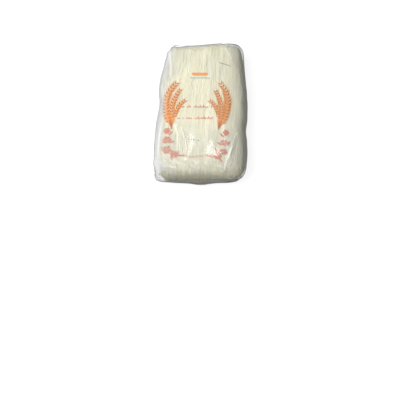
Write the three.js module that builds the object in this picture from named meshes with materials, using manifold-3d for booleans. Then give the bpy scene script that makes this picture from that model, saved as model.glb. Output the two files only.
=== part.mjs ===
// A retail block of dried rice vermicelli, sealed in a clear film bag and lying on its back.
//
// The fine white noodles are folded into long skeins and pressed into a soft brick. The film is drawn
// round it like a parcel: a tube with its long seam underneath, each end folded flat over the end face
// and closed by a crimped strip. Bag and noodles are one solid here, out to the film: the strands stand
// as ridges along the brick, and the end folds, creases and pinched corners of the film are fused on.
//
// Millimetres. +X is across the pack, +Y along the noodles to the far end, +Z up through the thickness.
// The origin is on the surface the pack lies on, under the middle of its box.

import * as THREE from "three";
import { mergeVertices } from "three/addons/utils/BufferGeometryUtils.js";
import Module from "manifold-3d";

// Driving dimensions
const LENGTH = 194; // end face to end face
const WIDTH_FAR = 105; // across the pack at its far end
const WIDTH_NEAR = 114; // across the near half of the pack, where the skeins lie looser
const WIDE_SHIFT = 1.6; // how much further the wide half reaches on its +X side
const THICKNESS = 41;
const BASE_SINK = 1.6; // how much of the rounded underside is pressed flat
const LEAN = 12; // how far the top lies over towards -X, from the bottom of the section to its top

// Rounding of the brick
const TOP_FLATNESS = 3.8; // exponent across the width: higher is a flatter face
const SIDE_FLATNESS = 2.5; // exponent through the thickness: higher is a straighter side wall
const FAR_ROUND = { left: 16, right: 6, through: 10, along: 9.6 };
const NEAR_ROUND = { left: 3, right: 12, through: 17, along: 15 };
const FAR_SKEW = 13.5; // how much further the far end runs on the +X side
const NEAR_SKEW = 6; // how much further the near end runs on the -X side
const END_HOLLOW = 4.4; // how much the middle of the far end lies back

// Noodle ridges
const STRANDS_ROUND = 84; // ridges round the section
const STRAND_RISE = 1.15;
const SKEINS = 4; // folded skeins side by side
const SKEIN_GROOVE = 1.3;
const WANDER = 2.6; // how far a strand strays sideways

// Grid of the skin
const BODY_RINGS = 13;
const ROUND_RINGS = 4;
const FACE_RINGS = [0.72, 0.36]; // shares of the end face's outline

// Film folds on each end face: foot and head are shares of the pack's half width there, low and high
// are heights above the floor, and across and up count the patches
const ROOT = 2.5; // how deep a fused fold reaches into the brick
const FLAP = { foot: 0.86, head: 0.5, low: 9, high: 35, proud: 0.9, across: 10, up: 4 };
const CRIMP = { foot: 0.8, head: 0.83, low: 3.5, high: 12, proud: 1.9, across: 26, up: 2, tooth: 0.5, bulge: 2.2 };
const TUCK = { outer: 0.93, inner: 0.6, low: 8, high: 33, proud: 0.5, across: 3, up: 4 };
const SEAM = { width: 11, clear: 0.35, length: 168 };
const CREASE = { rise: 0.7, width: 1.6, sink: 1.3, steps: 6 };
const PINCH = { radius: 6, height: 16, flat: 0.45, lean: 0.25, tilt: 0.6, at: [-42, 88.5, 34] };

const RICE_WHITE = 0xeee8cd;

const half = LENGTH / 2;
const middle = THICKNESS / 2;

// Repeatable random numbers, 0 to 1.
function makeRandom(seed) {
  let state = seed;
  return () => {
    state = (state * 1664525 + 1013904223) % 4294967296;
    return state / 4294967296;
  };
}
const random = makeRandom(7);

const smooth = (t) => t * t * (3 - 2 * t);
const ease = (from, to, x) => smooth(Math.min(1, Math.max(0, (x - from) / (to - from))));

// Half the pack's width at y, on its -X or +X side: a slow taper, with the film's soft swells.
function halfWidth(y, side) {
  const t = ease(half, 0, y);
  const width = (WIDTH_FAR + (WIDTH_NEAR - WIDTH_FAR) * t) / 2 + Math.sign(side) * WIDE_SHIFT * t;
  const swell =
    side < 0
      ? 1.7 * Math.exp(-(((y - 34) / 16) ** 2)) - 2.4 * Math.exp(-((y / 13) ** 2))
      : 1.1 * Math.exp(-(((y + 58) / 18) ** 2)) - 2.0 * Math.exp(-(((y + 26) / 11) ** 2));
  const trim =
    side < 0
      ? 1.3 + 1.2 * ease(half - 60, half - 20, y) + 3.4 * ease(half - 26, half, y) + 2.6 * ease(-half + 44, -half, y)
      : 0.2 + 0.9 * ease(-half + 26, -half, y) + 0.6 * ease(half - 50, half, y);
  return width + swell - trim;
}

// One section of the brick at y, inset from its full outline, as points evenly spaced along its outline.
// The list starts under the middle of the pack and runs towards +X.
function section(y, { left, right, through }, count, shift) {
  const fine = [];
  const steps = 720;
  for (let k = 0; k < steps; k++) {
    const a = (k / steps) * Math.PI * 2 - Math.PI / 2;
    const c = Math.cos(a);
    const s = Math.sin(a);
    const wide = halfWidth(y, c) - (c < 0 ? left : right);
    const high = middle + BASE_SINK / 2 - through;
    const x = Math.sign(c) * wide * Math.abs(c) ** (2 / TOP_FLATNESS);
    const z = middle - BASE_SINK / 2 + Math.sign(s) * high * Math.abs(s) ** (2 / SIDE_FLATNESS);
    fine.push([x, z]);
  }
  const run = [0];
  for (let k = 1; k <= steps; k++) {
    const [x0, z0] = fine[k - 1];
    const [x1, z1] = fine[k % steps];
    run.push(run[k - 1] + Math.hypot(x1 - x0, z1 - z0));
  }
  const total = run[steps];
  const points = [];
  for (let i = 0; i < count; i++) {
    const want = (((i / count) * total + shift[i]) % total + total) % total;
    let k = 0;
    while (run[k + 1] < want) k++;
    const t = (want - run[k]) / (run[k + 1] - run[k]);
    const [x0, z0] = fine[k];
    const [x1, z1] = fine[(k + 1) % steps];
    points.push([x0 + (x1 - x0) * t, z0 + (z1 - z0) * t]);
  }
  return points;
}

// The section leans over: its top lies further towards -X than its bottom.
function leaned(x, z) {
  return x - LEAN * (z / THICKNESS - 0.5);
}

// How far along the pack a point lies: both ends are a little askew, and the far end is slightly hollow.
function alongAt(y, x) {
  const far = ease(half - 60, half, y);
  const near = ease(-half + 60, -half, y);
  const hollow = END_HOLLOW * (1 - (x / WIDTH_FAR) ** 2 * 4);
  return y + far * (FAR_SKEW * (x / WIDTH_FAR) - hollow) + near * NEAR_SKEW * (x / WIDTH_NEAR);
}

// The ridges: each line of the grid is a strand's crest or the groove beside it, and strays sideways
// with its skein. A groove between skeins runs the length of the top.
const count = STRANDS_ROUND * 2;
const strands = Array.from({ length: count }, () => ({
  rise: 0.45 + 0.55 * random(),
  phase: random() * Math.PI * 2,
  pace: 34 + 22 * random(),
}));

function strayed(i, y) {
  const round = (i / count) * Math.PI * 2;
  const shared = WANDER * Math.sin(y / 31 + round * 3) + WANDER * 0.4 * Math.sin(y / 15 + round * 5);
  return shared + Math.sin(y / strands[i].pace + strands[i].phase) * 0.25;
}

function relief(i, y, x, z) {
  const crest = i % 2 === 0 ? strands[i].rise : 0;
  const ripple = 1 + 0.35 * Math.sin(y / 9 + strands[i].phase * 3);
  const base = ease(1.5, 7, z); // the underside is pressed flat
  let rise = crest * ripple * STRAND_RISE * base;
  if (z > middle) {
    const across = (x / halfWidth(y, x) + 1) * 0.5 * SKEINS;
    const line = Math.abs(across + 0.12 * Math.sin(y / 24) - Math.round(across));
    const inside = Math.round(across) > 0 && Math.round(across) < SKEINS ? 1 : 0;
    rise -= inside * SKEIN_GROOVE * Math.exp(-((line / 0.055) ** 2));
  }
  return rise;
}

// The brick's skin as a closed triangle mesh, from rings of points that run from the near end to the far.
function brick() {
  const rings = [];
  const addRing = (y, inset, share, ridged) => {
    const shift = strands.map((_, i) => strayed(i, y) * ridged);
    const outline = section(y, inset, count, shift);
    rings.push(
      outline.map(([x, z], i) => {
        const [xa, za] = outline[(i + count - 1) % count];
        const [xb, zb] = outline[(i + 1) % count];
        const long = Math.hypot(xb - xa, zb - za);
        const lift = relief(i, y, x, z) * ridged;
        const px = (x + ((zb - za) / long) * lift) * share;
        const pz = middle + (z - ((xb - xa) / long) * lift - middle) * share;
        return [leaned(px, pz), alongAt(y, px), Math.max(0, pz)];
      }),
    );
  };
  const endRings = (sign) => {
    const { left, right, through, along } = sign < 0 ? NEAR_ROUND : FAR_ROUND;
    const inset = (k) => ({ left: left * k, right: right * k, through: through * k });
    const list = FACE_RINGS.map((share) => () =>
      addRing(sign * half, inset(1), share, 0.35 * share),
    ).reverse();
    for (let k = ROUND_RINGS; k >= 1; k--) {
      const turn = (k / ROUND_RINGS) * (Math.PI / 2);
      const y = sign * (half - along * (1 - Math.sin(turn)));
      const ridged = 1 - 0.5 * (k / ROUND_RINGS);
      list.push(() => addRing(y, inset(1 - Math.cos(turn)), 1, ridged));
    }
    return sign < 0 ? list : list.reverse();
  };
  endRings(-1).forEach((make) => make());
  const [first, last] = [-half + NEAR_ROUND.along, half - FAR_ROUND.along];
  for (let k = 0; k < BODY_RINGS; k++) addRing(first + ((last - first) * k) / (BODY_RINGS - 1), { left: 0, right: 0, through: 0 }, 1, 1);
  endRings(1).forEach((make) => make());

  const vertices = rings.flat(2);
  const triangles = [];
  for (let r = 0; r + 1 < rings.length; r++) {
    for (let i = 0; i < count; i++) {
      const j = (i + 1) % count;
      const [a, b, c, d] = [r * count + i, r * count + j, (r + 1) * count + i, (r + 1) * count + j];
      triangles.push(a, d, b, a, c, d);
    }
  }
  const lastRing = (rings.length - 1) * count;
  const nearMiddle = rings.length * count;
  vertices.push(0, alongAt(-half, 0), middle, 0, alongAt(half, 0), middle);
  for (let i = 0; i < count; i++) {
    const j = (i + 1) % count;
    triangles.push(nearMiddle, i, j);
    triangles.push(nearMiddle + 1, lastRing + j, lastRing + i);
  }
  return new THREE.BufferGeometry()
    .setAttribute("position", new THREE.BufferAttribute(new Float32Array(vertices), 3))
    .setIndex(triangles);
}

// How far out the skin of an end lies at x, z: flat in the middle and rounded off towards the sides.
function endAt(x, z, sign) {
  const { left, right, through, along } = sign < 0 ? NEAR_ROUND : FAR_ROUND;
  const reach = (inset) => {
    const wide = halfWidth(sign * half, x) - (x < 0 ? left : right) * inset;
    const high = middle + BASE_SINK / 2 - through * inset;
    const up = Math.abs(z - middle + BASE_SINK / 2) / high;
    return (Math.abs(x) / wide) ** TOP_FLATNESS + up ** SIDE_FLATNESS;
  };
  let [low, high] = [0, 1];
  if (reach(1) < 1) low = 1;
  for (let k = 0; k < 20 && low < 1; k++) {
    const inset = (low + high) / 2;
    if (reach(inset) < 1) low = inset;
    else high = inset;
  }
  const turn = Math.acos(1 - low);
  return half - along * (1 - Math.sin(turn));
}

// A fold of film lying on an end face, as a thin closed slab that follows the skin. place(s, t) gives x
// and z for s across and t up, both 0 to 1, and proud(k) how far column k stands off the skin.
function fold(sign, { across, up }, place, proud) {
  const vertices = [];
  const triangles = [];
  const layer = (across + 1) * (up + 1);
  for (const outer of [0, 1]) {
    for (let j = 0; j <= up; j++) {
      for (let k = 0; k <= across; k++) {
        const [x, z] = place(k / across, j / up);
        const out = endAt(x, z, sign) + (outer ? proud(k) : -ROOT);
        vertices.push(leaned(x, z), alongAt(sign * out, x), z);
      }
    }
  }
  const quad = (a, b, c, d) => triangles.push(a, b, c, a, c, d);
  const at = (outer, j, k) => outer * layer + j * (across + 1) + k;
  for (let j = 0; j < up; j++) {
    for (let k = 0; k < across; k++) {
      quad(at(1, j, k), at(1, j, k + 1), at(1, j + 1, k + 1), at(1, j + 1, k));
      quad(at(0, j, k), at(0, j + 1, k), at(0, j + 1, k + 1), at(0, j, k + 1));
    }
    quad(at(0, j, 0), at(1, j, 0), at(1, j + 1, 0), at(0, j + 1, 0));
    quad(at(0, j, across), at(0, j + 1, across), at(1, j + 1, across), at(1, j, across));
  }
  for (let k = 0; k < across; k++) {
    quad(at(0, 0, k), at(0, 0, k + 1), at(1, 0, k + 1), at(1, 0, k));
    quad(at(0, up, k), at(1, up, k), at(1, up, k + 1), at(0, up, k + 1));
  }
  if (sign > 0) triangles.reverse();
  return new THREE.BufferGeometry()
    .setAttribute("position", new THREE.BufferAttribute(new Float32Array(vertices), 3))
    .setIndex(triangles);
}

// The folded end of the bag: the sides tucked in first, a tapered flap over them, and the crimped strip.
function endFolds(sign) {
  const lerp = THREE.MathUtils.lerp;
  const wide = halfWidth(sign * half, 0);
  const straight = ({ foot, head, low, high }) => (s, t) => [
    wide * lerp(foot, head, t) * (2 * s - 1),
    lerp(low, high, t),
  ];
  const tucks = [-1, 1].map((side) => {
    const place = (s, t) => {
      const inner = lerp(TUCK.outer - 0.06, TUCK.inner, t);
      const from = side > 0 ? inner : -TUCK.outer;
      const to = side > 0 ? TUCK.outer : -inner;
      return [wide * lerp(from, to, s), lerp(TUCK.low, TUCK.high, t)];
    };
    return fold(sign, TUCK, place, () => TUCK.proud);
  });
  const crimped = (k) => {
    const slack = CRIMP.bulge * Math.exp(-(((k / CRIMP.across - 0.5) / 0.12) ** 2));
    return CRIMP.proud + slack - (k % 2) * CRIMP.tooth;
  };
  return [
    ...tucks,
    fold(sign, FLAP, straight(FLAP), () => FLAP.proud),
    fold(sign, CRIMP, straight(CRIMP), crimped),
  ];
}

// A point on the brick's upper skin, without its ridges.
function onTop(x, y) {
  const side = Math.min(0.999, Math.abs(x) / halfWidth(y, x));
  const z = middle - BASE_SINK / 2 + (middle + BASE_SINK / 2) * (1 - side ** TOP_FLATNESS) ** (1 / SIDE_FLATNESS);
  return new THREE.Vector3(leaned(x, z), y, z);
}

// A ridge of loose film over the top, from one point to another, bowed sideways.
function crease([x0, y0], [x1, y1], bow) {
  const points = [];
  for (let k = 0; k <= CREASE.steps; k++) {
    const t = k / CREASE.steps;
    const arch = Math.sin(Math.PI * t);
    const away = new THREE.Vector2(y0 - y1, x1 - x0).normalize().multiplyScalar(bow * arch);
    const point = onTop(x0 + (x1 - x0) * t + away.x, y0 + (y1 - y0) * t + away.y);
    point.z += CREASE.rise * arch - CREASE.sink * (1 - arch);
    points.push(point);
  }
  const { width, sink } = CREASE;
  const wedge = new THREE.Shape([
    new THREE.Vector2(-sink, -width / 2),
    new THREE.Vector2(-sink, width / 2),
    new THREE.Vector2(0.5, 0),
  ]);
  return new THREE.ExtrudeGeometry(wedge, {
    steps: CREASE.steps,
    extrudePath: new THREE.CatmullRomCurve3(points),
    bevelEnabled: false,
  });
}

// The long seam under the pack, folded flat: a shallow channel on each side of it.
function seamChannels() {
  return [-1, 1].map((side) => {
    const channel = new THREE.BoxGeometry(1.2, SEAM.length, SEAM.clear * 2);
    channel.translate(leaned((side * SEAM.width) / 2, 0), 0, 0);
    return channel;
  });
}

// A corner of film pinched to a small flat point, standing off the far end.
function pinchedCorner() {
  const tip = new THREE.ConeGeometry(PINCH.radius, PINCH.height, 7);
  tip.scale(1, 1, PINCH.flat);
  tip.rotateZ(PINCH.lean);
  tip.rotateX(-PINCH.tilt);
  tip.translate(...PINCH.at);
  return tip;
}

const wasm = await Module();
wasm.setup();

function toSolid(geometry) {
  const bare = geometry.index ? geometry.toNonIndexed() : geometry.clone();
  bare.deleteAttribute("normal");
  bare.deleteAttribute("uv");
  const merged = mergeVertices(bare, 1e-4);
  const vertProperties = new Float32Array(merged.attributes.position.array);
  return new wasm.Manifold(
    new wasm.Mesh({ numProp: 3, vertProperties, triVerts: new Uint32Array(merged.index.array) }),
  );
}

function toGeometry(solid) {
  const mesh = solid.getMesh();
  return new THREE.BufferGeometry()
    .setAttribute("position", new THREE.BufferAttribute(new Float32Array(mesh.vertProperties), 3))
    .setIndex(new THREE.BufferAttribute(new Uint32Array(mesh.triVerts), 1));
}

// Creases as [from x, y], [to x, y], sideways bow
const CREASES = [
  [[49, -38], [40, -84], -2],
  [[44, -52], [20, -86], 3],
  [[30, -60], [2, -78], -2],
  [[-24, -12], [-14, -66], 3],
  [[-48, -34], [-40, -88], 2],
  [[-34, -72], [-4, -88], -2],
  [[-42, 84], [-50, 44], 2],
  [[36, 88], [46, 52], -2],
  [[-20, 60], [-34, 40], 1.5],
];

let solid = toSolid(brick());
const added = [endFolds(-1), endFolds(1), CREASES.map((c) => crease(...c)), pinchedCorner()].flat();
for (const piece of added) solid = solid.add(toSolid(piece));
for (const channel of seamChannels()) solid = solid.subtract(toSolid(channel));
// A small void left under a fold is filled: only the outer skin is kept.
const skins = solid.decompose().sort((a, b) => b.volume() - a.volume());
solid = skins[0];

const geometry = toGeometry(solid);
geometry.computeBoundingBox();
const box = geometry.boundingBox;
geometry.translate(-(box.min.x + box.max.x) / 2, -(box.min.y + box.max.y) / 2, -box.min.z);
geometry.computeVertexNormals();

const pack = new THREE.Mesh(
  geometry,
  new THREE.MeshStandardMaterial({ color: RICE_WHITE, roughness: 0.45, metalness: 0 }),
);
pack.name = "vermicelli_pack";

const group = new THREE.Group();
group.add(pack);

export default group;
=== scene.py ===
"""A retail block of dried rice vermicelli in its clear film bag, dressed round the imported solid.

The bag is one clear skin drawn from the solid's own shape, with its folded and crimped ends and its long
seam as pieces of their own. Inside lie the noodles as real strands: long skeins that run the length of the
bag and fold over at its ends, round a dense core. The print lies under the film as flat fields of ink.

Metres, +X across the pack, +Y along the noodles to the far end, +Z up. The pack lies on z = 0.
"""

import math
import random

import bpy
import numpy as np
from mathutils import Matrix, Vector, noise
from mathutils.bvhtree import BVHTree
from mathutils.geometry import delaunay_2d_cdt


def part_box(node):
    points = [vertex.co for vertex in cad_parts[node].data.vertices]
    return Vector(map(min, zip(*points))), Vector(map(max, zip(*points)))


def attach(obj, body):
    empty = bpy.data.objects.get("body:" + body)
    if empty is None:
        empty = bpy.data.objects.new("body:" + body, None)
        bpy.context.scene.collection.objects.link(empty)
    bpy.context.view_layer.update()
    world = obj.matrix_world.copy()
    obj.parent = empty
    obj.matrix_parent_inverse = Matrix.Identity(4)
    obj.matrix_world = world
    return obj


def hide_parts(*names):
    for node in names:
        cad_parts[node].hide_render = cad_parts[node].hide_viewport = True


MM = 0.001
PACK = "vermicelli_pack"
BODY = "root"

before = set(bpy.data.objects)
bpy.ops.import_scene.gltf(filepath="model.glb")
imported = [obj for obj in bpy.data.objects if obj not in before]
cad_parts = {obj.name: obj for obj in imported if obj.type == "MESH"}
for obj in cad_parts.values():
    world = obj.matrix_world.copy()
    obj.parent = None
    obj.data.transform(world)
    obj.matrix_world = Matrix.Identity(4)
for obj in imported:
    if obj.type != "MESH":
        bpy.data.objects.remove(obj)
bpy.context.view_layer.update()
LOW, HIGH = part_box(PACK)
MIDDLE = (LOW.z + HIGH.z) / 2
REACH = (HIGH - LOW).length  # longer than any ray inside the pack

# Camera
FIELD_OF_VIEW = 40.0  # degrees, across the frame's width
FRAME_SIZE = 400.0  # pixels along each side of the frame
CAMERA_DISTANCE = 721.0 * MM
CAMERA_AZIMUTH = 2.85  # degrees round from the near end
CAMERA_ELEVATION = 57.0  # degrees above the table
AIM_POINT = Vector((0.0, 0.0, 20.0)) * MM  # the point inside the pack that camera and lights are set from
AIM_PIXEL = (203.0, 110.0)  # where that point lies in the frame, from its upper left corner

# Film: it is cut a little large, drawn in round the noodles, and settles into creases of its own
FILM_CELL = 1.8 * MM
FILM_SMOOTHING = 12
FILM_SPAN = 60  # more smoothing, where it spans the strands of the upper side
SPAN_ACROSS, SPAN_ALONG, SPAN_ABOVE = (46.0, 36.0), (88.0, 74.0), (30.0, 36.0)  # mm, where that fades in
FILM_GAP = 0.4 * MM  # how close it comes to the noodles
THICK_FILM = 0.14 * MM  # a fold's film, thicker than one layer so that it holds up as a mesh
DRAPE_SCALE = 10.0  # the cloth solver works on the film at this size
DRAPE_FRAMES = 20
DRAPE_SPARE = 0.025  # how much longer than its place the film is, as a share
DRAPE_DEPTH = 1.3 * MM  # how far in the noodles and the air among them let it go
DRAPE_CAP = 3.0 * MM  # the farthest that a point may move
DRAPE_RISE = 0.35 * MM  # and the farthest of that outwards
TOP_TIGHTNESS = 0.78  # how much less of the drape shows where the film is tight on the upper side

# Light
BACKDROP = 0.97  # how bright the space behind the floor looks
DIM_SIDE, BRIGHT_SIDE = 0.03, 0.45  # the room's own light, from its darkest side to its brightest
BRIGHT_WAY = (-0.55, -0.45, 0.70)  # the direction of its brightest side
DIM_LIMIT = -0.6  # from here round to the other side it is at its darkest, as a cosine
SHEEN = 0.78  # how bright the room looks in the film's reflections
FLOOR_BOUNCE = 0.22  # how much of its light the floor gives back to the pack
FLOOR_TONE, FLOOR_GLOW = 0.17, 0.88  # what the floor looks like: its own colour, and light added to it
FLOOR_SIZE = 8.0
FLOOR_DROP = 0.2 * MM  # so that the floor and the pack's base never share one plane
KEY_PLACE = (-0.59, -0.25, 0.90)  # the soft light that shapes the pack; the film doesn't mirror it
KEY_SIZE = 0.8
KEY_POWER = 17.5
GLINT_PLACE = (0.078, 0.40, 0.90)  # a small light that only the film mirrors
GLINT_SIZE = (0.095, 0.10)
GLINT_POWER = 0.46

# Noodles
STRAND_RADIUS = 0.36 * MM
STRAND_SIDES = 5
LOWEST_STRAND = 0.9 * MM
LAYER = 0.38  # mm from one layer of strands down to the next
LOOPS_ACROSS = (212, 200)  # strands side by side in the outer skein and in the one below it
WALL_ROWS = 46  # strands above each other in each layer of a side wall
LOOSE_STRANDS = 20
SPINE_INSET = 22 * MM  # the pack's ends are round past this distance from them
WALL_INSET = 20 * MM  # and so are the corners, between a side wall and an end
STATIONS = 25  # places along the pack where its width is measured
CORE_DEPTH = 1.8 * MM  # how deep the dense mass lies under the film where the noodles touch it
CORE_END_DEPTH = 1.2 * MM  # and how much deeper at the ends, where the strands turn


# ---------------------------------------------------------------- small helpers


def mix(a, b, t):
    return a + (b - a) * t


def smooth_step(low, high, value):
    t = np.clip((value - low) / (high - low), 0.0, 1.0)
    return t * t * (3.0 - 2.0 * t)


def select_only(*objects):
    bpy.ops.object.select_all(action="DESELECT")
    for each in objects:
        each.select_set(True)
    bpy.context.view_layer.objects.active = objects[0]


def apply_modifier(obj, kind, **settings):
    select_only(obj)
    modifier = obj.modifiers.new(kind.lower(), kind)
    for key, value in settings.items():
        setattr(modifier, key, value)
    bpy.ops.object.modifier_apply(modifier=modifier.name)


def copied(obj, name):
    """A copy of a piece with its own mesh."""
    made = obj.copy()
    made.data = obj.data.copy()
    made.name = name
    made.data.name = name
    bpy.context.scene.collection.objects.link(made)
    return made


def shade_smooth(obj):
    select_only(obj)
    bpy.ops.object.shade_smooth()


def coordinates(obj):
    flat = np.empty(len(obj.data.vertices) * 3)
    obj.data.vertices.foreach_get("co", flat)
    return flat.reshape(-1, 3)


def set_coordinates(obj, points):
    obj.data.vertices.foreach_set("co", np.asarray(points, float).ravel())
    obj.data.update()


def normals(obj):
    flat = np.empty(len(obj.data.vertices) * 3)
    obj.data.vertex_normals.foreach_get("vector", flat)
    return flat.reshape(-1, 3)


def tree_of(obj):
    return BVHTree.FromObject(obj, bpy.context.evaluated_depsgraph_get())


def add_weights(obj, name, values):
    """A number for each vertex, which the piece's material reads."""
    attribute = obj.data.attributes.new(name, "FLOAT", "POINT")
    attribute.data.foreach_set("value", np.asarray(values, np.float32))


def finish_piece(obj, material):
    obj.data.materials.clear()
    obj.data.materials.append(material)
    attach(obj, BODY)


# ---------------------------------------------------------------- camera, floor and light


def add_camera():
    """The camera, turned so that the aim point falls on its pixel."""
    data = bpy.data.cameras.new("camera")
    data.angle = math.radians(FIELD_OF_VIEW)
    camera = bpy.data.objects.new("camera", data)
    bpy.context.scene.collection.objects.link(camera)
    bpy.context.scene.camera = camera
    azimuth, elevation = math.radians(CAMERA_AZIMUTH), math.radians(CAMERA_ELEVATION)
    back = Vector(
        (
            math.sin(azimuth) * math.cos(elevation),
            -math.cos(azimuth) * math.cos(elevation),
            math.sin(elevation),
        )
    )
    camera.location = AIM_POINT + back * CAMERA_DISTANCE
    focal = FRAME_SIZE / 2 / math.tan(math.radians(FIELD_OF_VIEW / 2))
    offset_x = (AIM_PIXEL[0] - FRAME_SIZE / 2) / focal
    offset_y = (FRAME_SIZE / 2 - AIM_PIXEL[1]) / focal
    seen = Vector((offset_x, offset_y, -1.0)).normalized()
    turn = seen.rotation_difference(Vector((0.0, 0.0, -1.0)))
    camera.rotation_mode = "QUATERNION"
    camera.rotation_quaternion = (-back).to_track_quat("-Z", "Y") @ turn


def add_area_light(name, place, size, power):
    """A white rectangular light that looks at the middle of the pack."""
    data = bpy.data.lights.new(name, "AREA")
    data.shape = "RECTANGLE"
    data.size, data.size_y = size
    data.energy = power
    light = bpy.data.objects.new(name, data)
    bpy.context.scene.collection.objects.link(light)
    light.location = place
    light.rotation_mode = "QUATERNION"
    light.rotation_quaternion = (AIM_POINT - Vector(place)).to_track_quat("-Z", "Y")
    return light


def add_studio():
    """A pale room that is brighter on one side, one soft light, one glint and a pale floor."""
    bpy.context.scene.view_settings.view_transform = "Standard"
    world = bpy.data.worlds.new("studio")
    bpy.context.scene.world = world
    world.use_nodes = True
    nodes = world.node_tree.nodes
    links = world.node_tree.links
    place = nodes.new("ShaderNodeTexCoord")
    facing = nodes.new("ShaderNodeVectorMath")
    facing.operation = "DOT_PRODUCT"
    facing.inputs[1].default_value = BRIGHT_WAY
    links.new(place.outputs["Generated"], facing.inputs[0])
    room = nodes.new("ShaderNodeMapRange")
    room.inputs["From Min"].default_value = DIM_LIMIT
    room.inputs["To Min"].default_value = DIM_SIDE
    room.inputs["To Max"].default_value = BRIGHT_SIDE
    links.new(facing.outputs["Value"], room.inputs["Value"])
    paths = nodes.new("ShaderNodeLightPath")
    source = room.outputs["Result"]
    for ray, value in (("Is Glossy Ray", SHEEN), ("Is Camera Ray", BACKDROP)):
        strength = nodes.new("ShaderNodeMix")
        links.new(paths.outputs[ray], strength.inputs["Factor"])
        links.new(source, strength.inputs["A"])
        strength.inputs["B"].default_value = value
        source = strength.outputs["Result"]
    links.new(source, nodes["Background"].inputs["Strength"])
    nodes["Background"].inputs["Color"].default_value = (1.0, 1.0, 1.0, 1.0)
    key = add_area_light("key", KEY_PLACE, (KEY_SIZE, KEY_SIZE), KEY_POWER)
    key.visible_glossy = False
    glint = add_area_light("glint", GLINT_PLACE, GLINT_SIZE, GLINT_POWER)
    glint.visible_diffuse = False

    bpy.ops.mesh.primitive_grid_add(x_subdivisions=8, y_subdivisions=8, size=FLOOR_SIZE)
    floor = bpy.context.object
    floor.name = "floor"
    floor.location.z = -FLOOR_DROP
    floor.data.materials.append(floor_material())


# ---------------------------------------------------------------- materials


def new_material(name):
    material = bpy.data.materials.new(name)
    material.use_nodes = True
    return material, material.node_tree.nodes["Principled BSDF"]


class Nodes:
    """Short names for building one material's nodes."""

    def __init__(self, material):
        self.tree = material.node_tree

    def add(self, kind, **settings):
        node = self.tree.nodes.new(kind)
        for key, value in settings.items():
            setattr(node, key, value)
        return node

    def link(self, source, target):
        self.tree.links.new(source, target)

    def object_place(self, scale=(1.0, 1.0, 1.0)):
        """Object coordinates, stretched by scale."""
        place = self.add("ShaderNodeTexCoord")
        mapping = self.add("ShaderNodeMapping")
        mapping.inputs["Scale"].default_value = scale
        self.link(place.outputs["Object"], mapping.inputs["Vector"])
        return mapping.outputs["Vector"]

    def noise(self, vector, scale, detail=2.0):
        node = self.add("ShaderNodeTexNoise")
        node.inputs["Scale"].default_value = scale
        node.inputs["Detail"].default_value = detail
        self.link(vector, node.inputs["Vector"])
        return node.outputs["Fac"]

    def ramp(self, value, stops):
        node = self.add("ShaderNodeValToRGB")
        elements = node.color_ramp.elements
        while len(elements) < len(stops):
            elements.new(0.5)
        for element, (position, colour) in zip(elements, stops):
            element.position = position
            element.color = (*colour, 1.0)
        self.link(value, node.inputs["Fac"])
        return node.outputs["Color"]

    def attribute(self, name):
        """A number that add_weights has put on the mesh."""
        return self.add("ShaderNodeAttribute", attribute_name=name).outputs["Fac"]

    def math(self, operation, a, b, clamp=False):
        node = self.add("ShaderNodeMath", operation=operation, use_clamp=clamp)
        for socket, value in zip(node.inputs, (a, b)):
            if isinstance(value, (int, float)):
                socket.default_value = value
            else:
                self.link(value, socket)
        return node.outputs["Value"]

    def mix_colours(self, share, a, b):
        node = self.add("ShaderNodeMix", data_type="RGBA")
        self.link(share, node.inputs["Factor"])
        node.inputs["A"].default_value = (*a, 1.0)
        node.inputs["B"].default_value = (*b, 1.0)
        return node.outputs["Result"]

    def bump(self, height, distance, strength=1.0):
        node = self.add("ShaderNodeBump")
        node.inputs["Distance"].default_value = distance
        node.inputs["Strength"].default_value = strength
        self.link(height, node.inputs["Height"])
        return node.outputs["Normal"]


def floor_material():
    """A white table that looks bright and gives little light back, so that the shadow on it stays pale."""
    material, shader = new_material("floor")
    nodes = Nodes(material)
    seen = nodes.add("ShaderNodeLightPath").outputs["Is Camera Ray"]
    tone = nodes.add("ShaderNodeMix", data_type="RGBA")
    nodes.link(seen, tone.inputs["Factor"])
    tone.inputs["A"].default_value = (FLOOR_BOUNCE, FLOOR_BOUNCE, FLOOR_BOUNCE, 1.0)
    tone.inputs["B"].default_value = (FLOOR_TONE, FLOOR_TONE, FLOOR_TONE, 1.0)
    nodes.link(tone.outputs["Result"], shader.inputs["Base Color"])
    shader.inputs["Roughness"].default_value = 0.9
    shader.inputs["Specular IOR Level"].default_value = 0.0
    shader.inputs["Emission Color"].default_value = (1.0, 1.0, 1.0, 1.0)
    nodes.link(nodes.math("MULTIPLY", seen, FLOOR_GLOW), shader.inputs["Emission Strength"])
    return material


RICE_DEEP = (0.90, 0.84, 0.57)
RICE_BODY = (0.93, 0.88, 0.62)
RICE_PALE = (0.95, 0.915, 0.71)
CORE_DEEP, CORE_PALE = (0.88, 0.82, 0.55), (0.92, 0.87, 0.62)


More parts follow.
